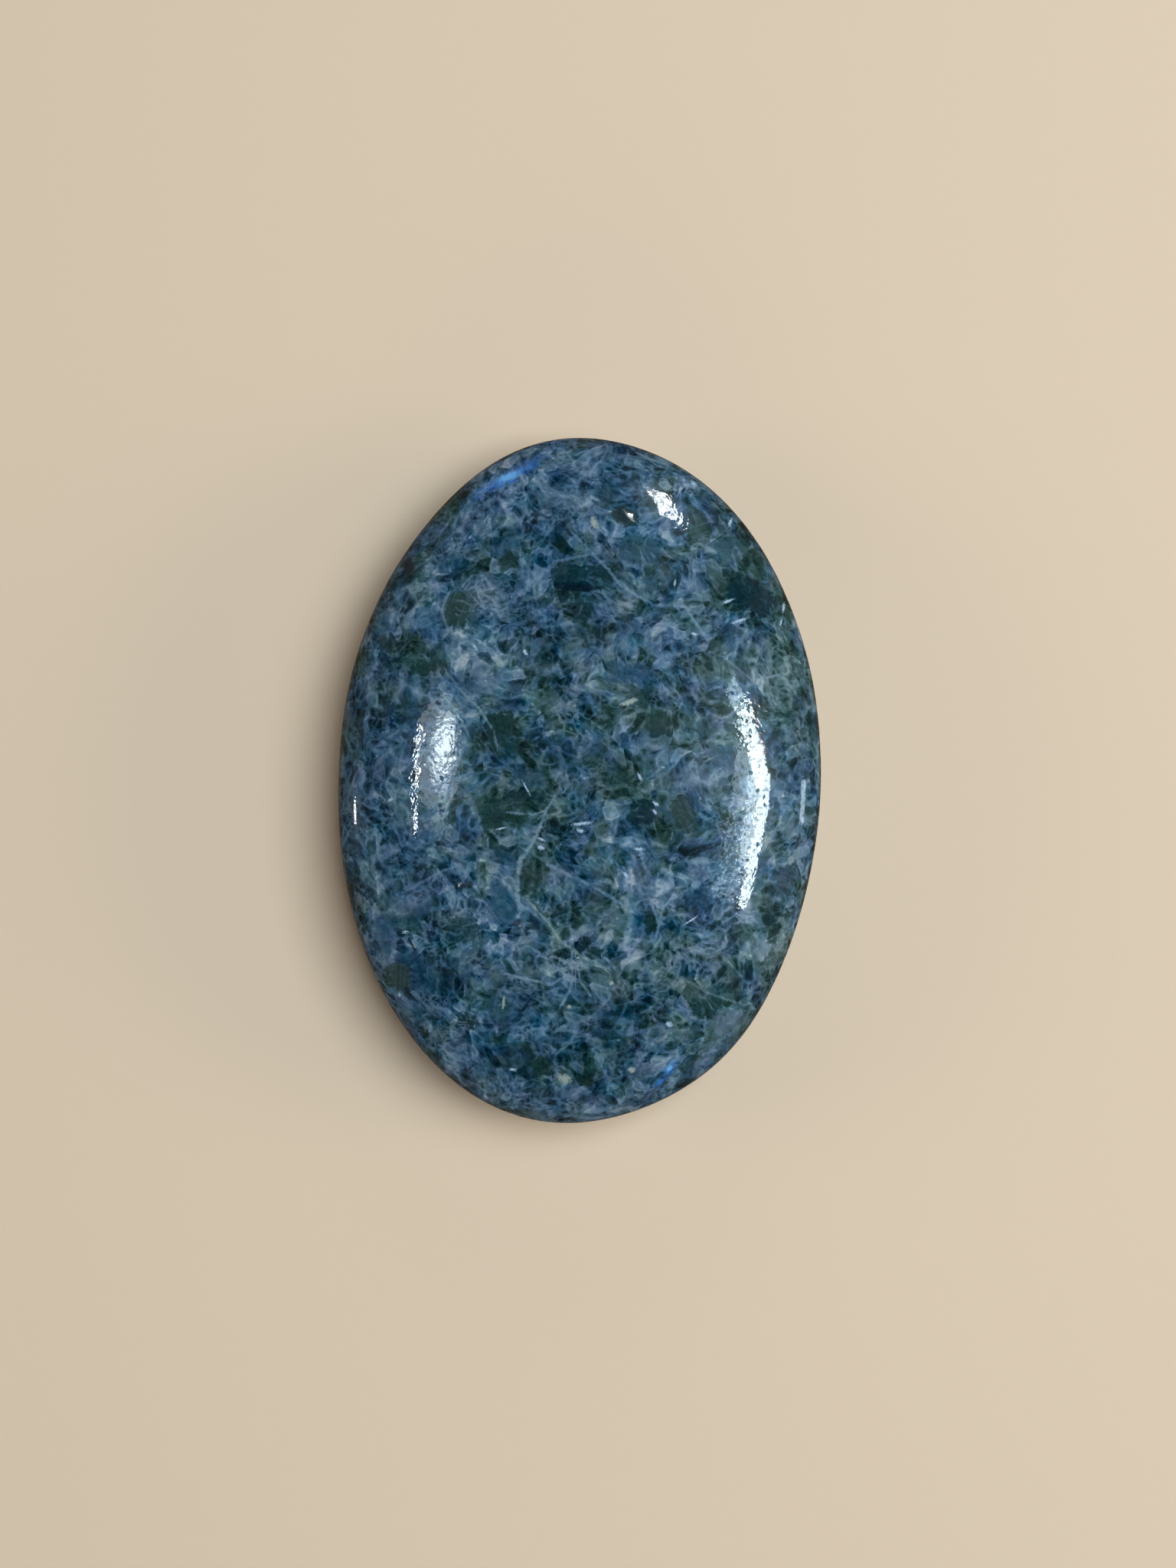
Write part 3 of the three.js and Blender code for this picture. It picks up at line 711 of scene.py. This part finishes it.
studio = {
    "floorSize": 3.0, "floorShade": "#e6dcc8",
    # the room from straight down, through the horizon, to straight up; the floor stays out of reflections
    "room": [(0.0, "#6b5c4a"), (0.49, "#6b5c4a"), (0.52, "#b4b8bc"), (0.80, "#1c1f22")], "roomStrength": 0.55,
    "lampDistance": 0.8, "aimHeight": 0.008,        # m, from the middle of the stone's base
    "ovalLamps": ("leftGlow", "leftGlowEdge", "leftHaze"),
    # name, azimuth, elevation, tilt, width m, height m, shade, radiance, shows in reflections, lights things
    "lamps": [
        ("overheadSoftbox", 20, 66, 0, 0.55, 0.55, "#ffffff", 5.4, False, True),
        ("warmFillRight", 0, 20, 0, 0.40, 0.20, "#ffd6ae", 6.4, False, True),
        ("warmFillLeft", 180, 20, 0, 0.40, 0.20, "#ffdcbc", 4.1, False, True),
        ("warmFillFront", -90, 20, 0, 0.40, 0.20, "#ffdcbc", 2.4, False, True),
        ("warmFillBack", 90, 20, 0, 0.40, 0.20, "#ffdcbc", 1.6, False, True),
        ("rightWindowLow", -10.2, 42.2, 0, 0.214, 0.060, "#e6f8fc", 26.0, True, False),
        ("rightWindowHigh", 6.5, 46.6, 28, 0.190, 0.072, "#e6f8fc", 26.0, True, False),
        ("rightCurtain", -4, 46.4, 0, 0.190, 0.066, "#dceef8", 14.0, True, False),
        ("rightVeil", -7, 50.4, 0, 0.240, 0.100, "#d4f0ff", 6.0, True, False),
        ("highCurtain", 15, 50.5, 20, 0.090, 0.056, "#d4f0ff", 11.0, True, False),
        ("warmSliver", 9, 44.1, 28, 0.110, 0.014, "#ffb98c", 10.0, True, False),
        ("farWindow", 64.9, 33.8, 32, 0.110, 0.186, "#f4fbff", 30.0, True, False),
        ("leftGlow", 174.9, 59.0, 8, 0.078, 0.100, "#eefcff", 14.5, True, False),
        ("leftGlowEdge", 174.6, 58.6, 25, 0.124, 0.140, "#e8f8ff", 6.0, True, False),
        ("leftHaze", 175.2, 57, -20, 0.195, 0.230, "#e2f4ff", 3.4, True, False),
        ("leftTube", 182, 50.3, 0, 0.190, 0.009, "#f0fbff", 60.0, True, False),
        ("lowLeftCard", 185.0, 2.0, 0, 0.050, 0.060, "#eef4ff", 26.0, True, False),
        ("lowRightCard", -3.0, 5.0, 0, 0.080, 0.120, "#d8ecf8", 8.0, True, False),
    ],
}


def stageFloor():
    half = studio["floorSize"] / 2
    mesh = bpy.data.meshes.new("floor")
    corners = [(-half, -half, 0), (half, -half, 0), (half, half, 0), (-half, half, 0)]
    mesh.from_pydata(corners, [], [(0, 1, 2, 3)])
    floor = bpy.data.objects.new("floor", mesh)
    bpy.context.scene.collection.objects.link(floor)
    paper = bpy.data.materials.new("palePaper")
    paper.use_nodes = True
    shader = paper.node_tree.nodes["Principled BSDF"]
    shader.inputs["Base Color"].default_value = linearColour(studio["floorShade"])
    shader.inputs["Specular IOR Level"].default_value = 0.0     # matt paper throws no glare
    mesh.materials.append(paper)
    floor.visible_glossy = False


def hangLamp(name, azimuth, elevation, tilt, width, height, shade, radiance, shines, lights):
    data = bpy.data.lights.new(name, "AREA")
    oval = name in studio["ovalLamps"]
    data.shape, data.size, data.size_y = "ELLIPSE" if oval else "RECTANGLE", width, height
    data.energy = radiance * math.pi * width * height * (math.pi / 4 if oval else 1)
    data.color = linearColour(shade)[:3]
    lamp = bpy.data.objects.new(name, data)
    a, e = math.radians(azimuth), math.radians(elevation)
    away = Vector((math.cos(a) * math.cos(e), math.sin(a) * math.cos(e), math.sin(e)))
    lamp.location = away * studio["lampDistance"] + Vector((0, 0, studio["aimHeight"]))
    turned = away.to_track_quat("Z", "Y") @ Quaternion((0, 0, 1), math.radians(tilt))
    lamp.rotation_euler = turned.to_euler()
    lamp.visible_camera = False
    lamp.visible_glossy, lamp.visible_diffuse = shines, lights
    bpy.context.scene.collection.objects.link(lamp)


def paintSky():
    world = bpy.data.worlds.new("studioRoom")
    bpy.context.scene.world = world
    world.use_nodes = True
    nodes, links = world.node_tree.nodes, world.node_tree.links
    direction = nodes.new("ShaderNodeTexCoord")
    parts = nodes.new("ShaderNodeSeparateXYZ")
    height = nodes.new("ShaderNodeMapRange")
    ramp = nodes.new("ShaderNodeValToRGB")
    background = nodes["Background"]
    height.inputs["From Min"].default_value = -1.0
    for stop in studio["room"][2:]:
        ramp.color_ramp.elements.new(stop[0])
    for element, (place, shade) in zip(ramp.color_ramp.elements, studio["room"]):
        element.position, element.color = place, linearColour(shade)
    background.inputs["Strength"].default_value = studio["roomStrength"]
    links.new(direction.outputs["Generated"], parts.inputs[0])
    links.new(parts.outputs["Z"], height.inputs["Value"])
    links.new(height.outputs[0], ramp.inputs[0])
    links.new(ramp.outputs[0], background.inputs["Color"])


stageFloor()
paintSky()
for lamp in studio["lamps"]:
    hangLamp(*lamp)
bpy.context.scene.view_settings.view_transform = "Standard"
print("studio: floor, room and", len(studio["lamps"]), "lamps")

view = {
    "distance": 0.231,                      # m above the widest line of the stone
    "lens": 52.0, "frameHeight": 36.0,      # mm
    "across": 0.85, "along": -0.30,         # mm from the middle of the stone to the middle of the frame
    "roll": 2.145,                          # degrees the stone leans to the right
}


def setCamera():
    data = bpy.data.cameras.new("topView")
    data.sensor_fit, data.sensor_height, data.lens = "VERTICAL", view["frameHeight"], view["lens"]
    data.clip_start = 0.01
    camera = bpy.data.objects.new("topView", data)
    camera.location = (view["across"] * mm, view["along"] * mm,
                       palmStone["baseDepth"] * mm + view["distance"])
    camera.rotation_euler = (0, 0, math.radians(view["roll"]))
    bpy.context.scene.collection.objects.link(camera)
    bpy.context.scene.camera = camera


setCamera()
